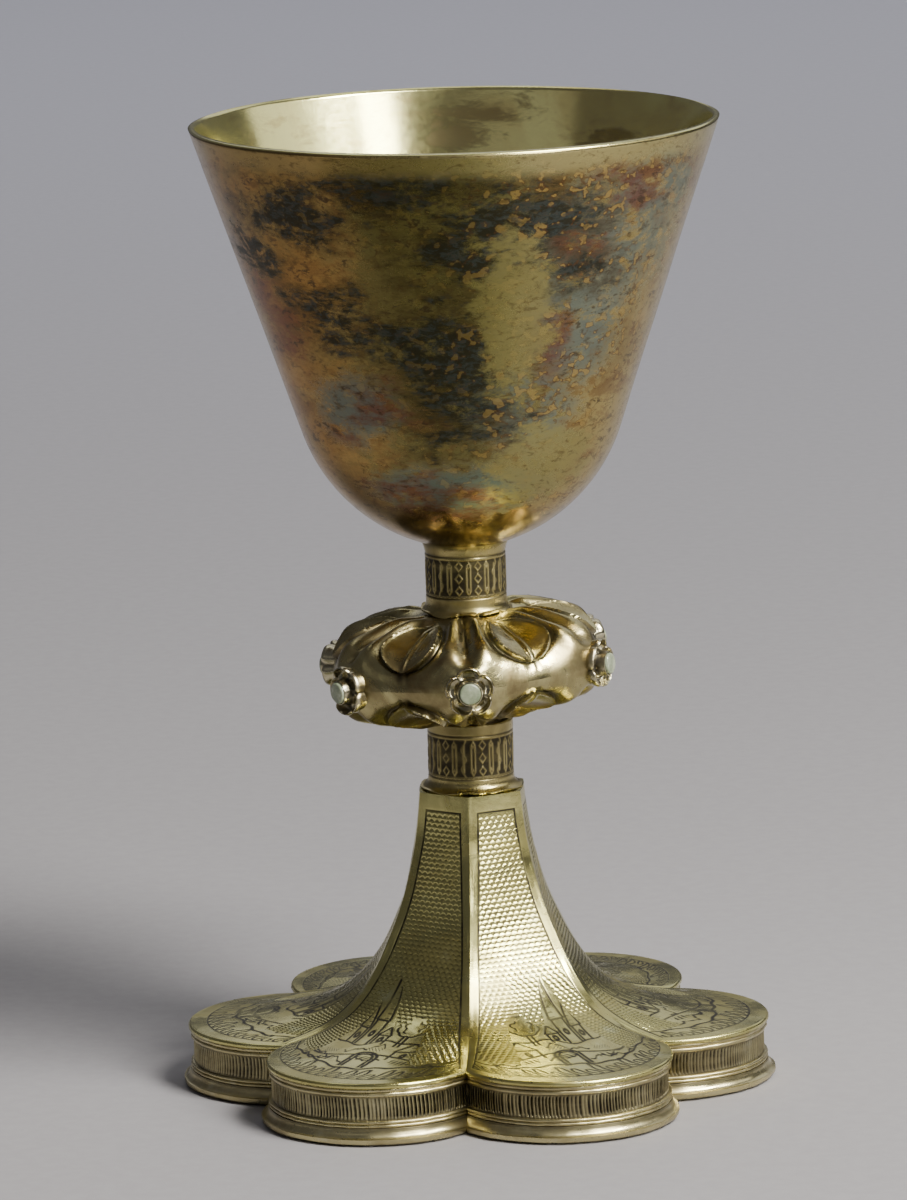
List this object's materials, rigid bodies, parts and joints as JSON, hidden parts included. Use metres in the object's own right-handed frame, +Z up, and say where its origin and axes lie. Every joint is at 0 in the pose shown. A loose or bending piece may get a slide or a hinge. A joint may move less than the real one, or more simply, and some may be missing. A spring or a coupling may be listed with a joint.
{
  "type": "communion chalice",
  "caption": "Tall conical cup on a short stem with a flattened lobed knop set with stones and a six-lobed foot with engraved panels; silver gilt, clamped by a rod and nut.",
  "frame": {"origin": "middle of the foot's underside, on the surface it stands on", "axes": "+Z up through the cup's mouth, -Y towards one of the foot's six ridges, +X towards the middle of a lobe"},
  "size_m": [0.1164, 0.1068, 0.19],
  "materials": {
    "bowl_gilt": "polished gilding with tarnish",
    "silver_gilt": "worn gilding, dark in the hollows",
    "foot_gilt": "pale worn gilding, engraved",
    "glass_stone": "cloudy pale green glass, flat cut",
    "fixing_metal": "plain turned metal"
  },
  "bodies": {
    "chalice": {"bowl": "bowl_gilt", "upper_collar": "silver_gilt", "lower_collar": "silver_gilt", "knop_upper_shell": "silver_gilt", "knop_lower_shell": "silver_gilt", "knop_rosette_1": "silver_gilt", "knop_rosette_2": "silver_gilt", "knop_rosette_3": "silver_gilt", "knop_rosette_4": "silver_gilt", "knop_rosette_5": "silver_gilt", "knop_rosette_6": "silver_gilt", "foot_shell": "foot_gilt", "foot_upper_moulding": "foot_gilt", "foot_rib_band": "foot_gilt", "foot_lower_moulding": "foot_gilt", "foot_wall": "foot_gilt", "foot_base_flange": "foot_gilt", "neck_plate": "foot_gilt", "knop_stone_1": "glass_stone", "knop_stone_2": "glass_stone", "knop_stone_3": "glass_stone", "knop_stone_4": "glass_stone", "knop_stone_5": "glass_stone", "knop_stone_6": "glass_stone", "rod_head": "fixing_metal", "tie_rod": "fixing_metal", "stem_tube": "fixing_metal"},
    "washer": {"washer": "fixing_metal"},
    "nut": {"retaining_nut": "fixing_metal"}
  },
  "joints": [
    {"name": "nut_travel", "type": "slide", "parent": "chalice", "child": "washer", "axis": [0, 0, -1], "range_m": [0, 0.006]},
    {"name": "nut_turn", "type": "hinge", "parent": "washer", "child": "nut", "pos_m": [0, 0, 0.0539], "axis": [0, 0, -1], "range_deg": [0, 2700]}
  ],
  "couplings": [
    {"joint": "nut_turn", "follows": "nut_travel", "rad_per_m": 7853.9}
  ]
}
